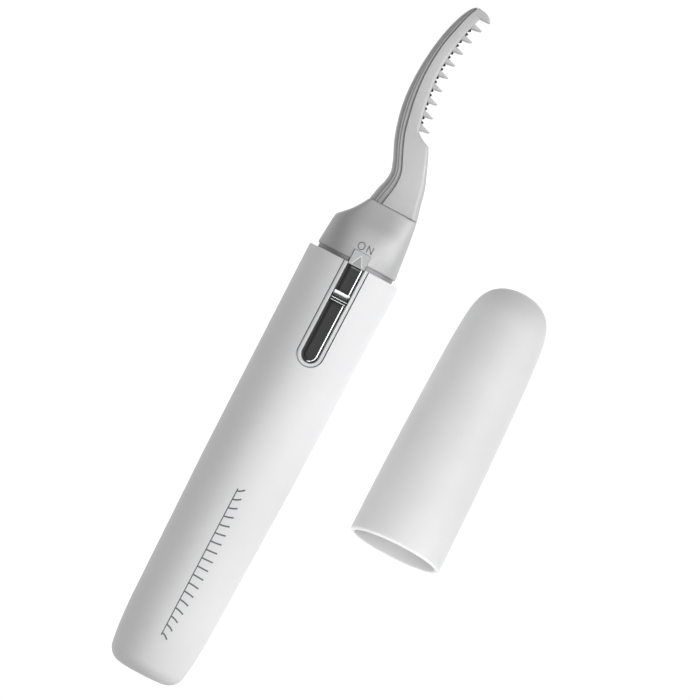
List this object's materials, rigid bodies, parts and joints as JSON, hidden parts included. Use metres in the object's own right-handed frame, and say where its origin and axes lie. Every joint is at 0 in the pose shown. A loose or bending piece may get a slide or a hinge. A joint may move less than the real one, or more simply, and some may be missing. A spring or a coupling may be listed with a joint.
{
  "type": "eyelash curler",
  "caption": "Slim battery heated eyelash curler with a curved heated comb, sliding switch, pull-off barrel and loose cap.",
  "frame": {"origin": "centre of the barrel's flat tail face", "axes": "+Y from the tail to the comb along the barrel, +Z out of the switch face, +X towards the comb's teeth"},
  "size_m": [0.0498, 0.1407, 0.0251],
  "materials": {
    "white_shell": "satin",
    "cap_white": "satin",
    "grey_satin": "satin",
    "grey_spine": "satin",
    "tooth_clear": "gloss",
    "chrome_trim": "polished",
    "dark_mirror": "polished",
    "clear_lens": "gloss",
    "chassis_grey": "matte",
    "cradle_plastic": "matte",
    "spring_steel": "nickel plated",
    "board_green": "solder mask",
    "chip_black": "matte",
    "screw_steel": "zinc plated",
    "switch_black": "matte",
    "led_body": "gloss",
    "ring_rubber": "matte",
    "heater_dark": "satin black",
    "heater_wire": "satin black",
    "lead_red": "satin",
    "lead_black": "satin",
    "cell_steel": "nickel plated",
    "cell_film": "gloss"
  },
  "bodies": {
    "chassis": {"chassis_frame": "chassis_grey", "battery_cradle": "cradle_plastic", "positive_contact": "spring_steel", "return_strip": "spring_steel", "sleeve_oring": "ring_rubber", "circuit_board": "board_green", "board_screws": "screw_steel", "board_components": "chip_black", "switch_housing": "switch_black", "indicator_led": "led_body", "switch_bezel": "chrome_trim", "indicator_lens": "clear_lens", "neck_collar": "grey_satin", "spine_cover": "grey_spine", "comb_body": "grey_satin", "tooth_strip_front": "tooth_clear", "tooth_strip_back": "tooth_clear", "heater_bar": "heater_dark", "heater_winding": "heater_wire", "heater_lead_front": "lead_red", "heater_lead_back": "lead_black"},
    "sleeve": {"barrel_sleeve": "white_shell", "tail_contact": "spring_steel", "tail_spring": "spring_steel"},
    "cell": {"cell_can": "cell_steel", "cell_wrapper": "cell_film", "cell_nub": "cell_steel"},
    "switch": {"switch_plate": "dark_mirror", "switch_knob": "chrome_trim", "switch_actuator": "switch_black"},
    "cap": {"cap": "cap_white"}
  },
  "joints": [
    {"name": "sleeve_pull", "type": "slide", "parent": "chassis", "child": "sleeve", "axis": [0, -1, 0], "range_m": [0, 0.09]},
    {"name": "cell_slide", "type": "slide", "parent": "chassis", "child": "cell", "axis": [0, -1, 0], "range_m": [0, 0.045]},
    {"name": "switch_slide", "type": "slide", "parent": "chassis", "child": "switch", "axis": [0, 1, 0], "range_m": [0, 0.003]},
    {"name": "cap_pull", "type": "slide", "parent": "chassis", "child": "cap", "axis": [0, 1, 0], "range_m": [0, 0.06]}
  ],
  "couplings": [
    {"joint": "cell_slide", "follows": "sleeve_pull", "ratio": 0.5}
  ]
}
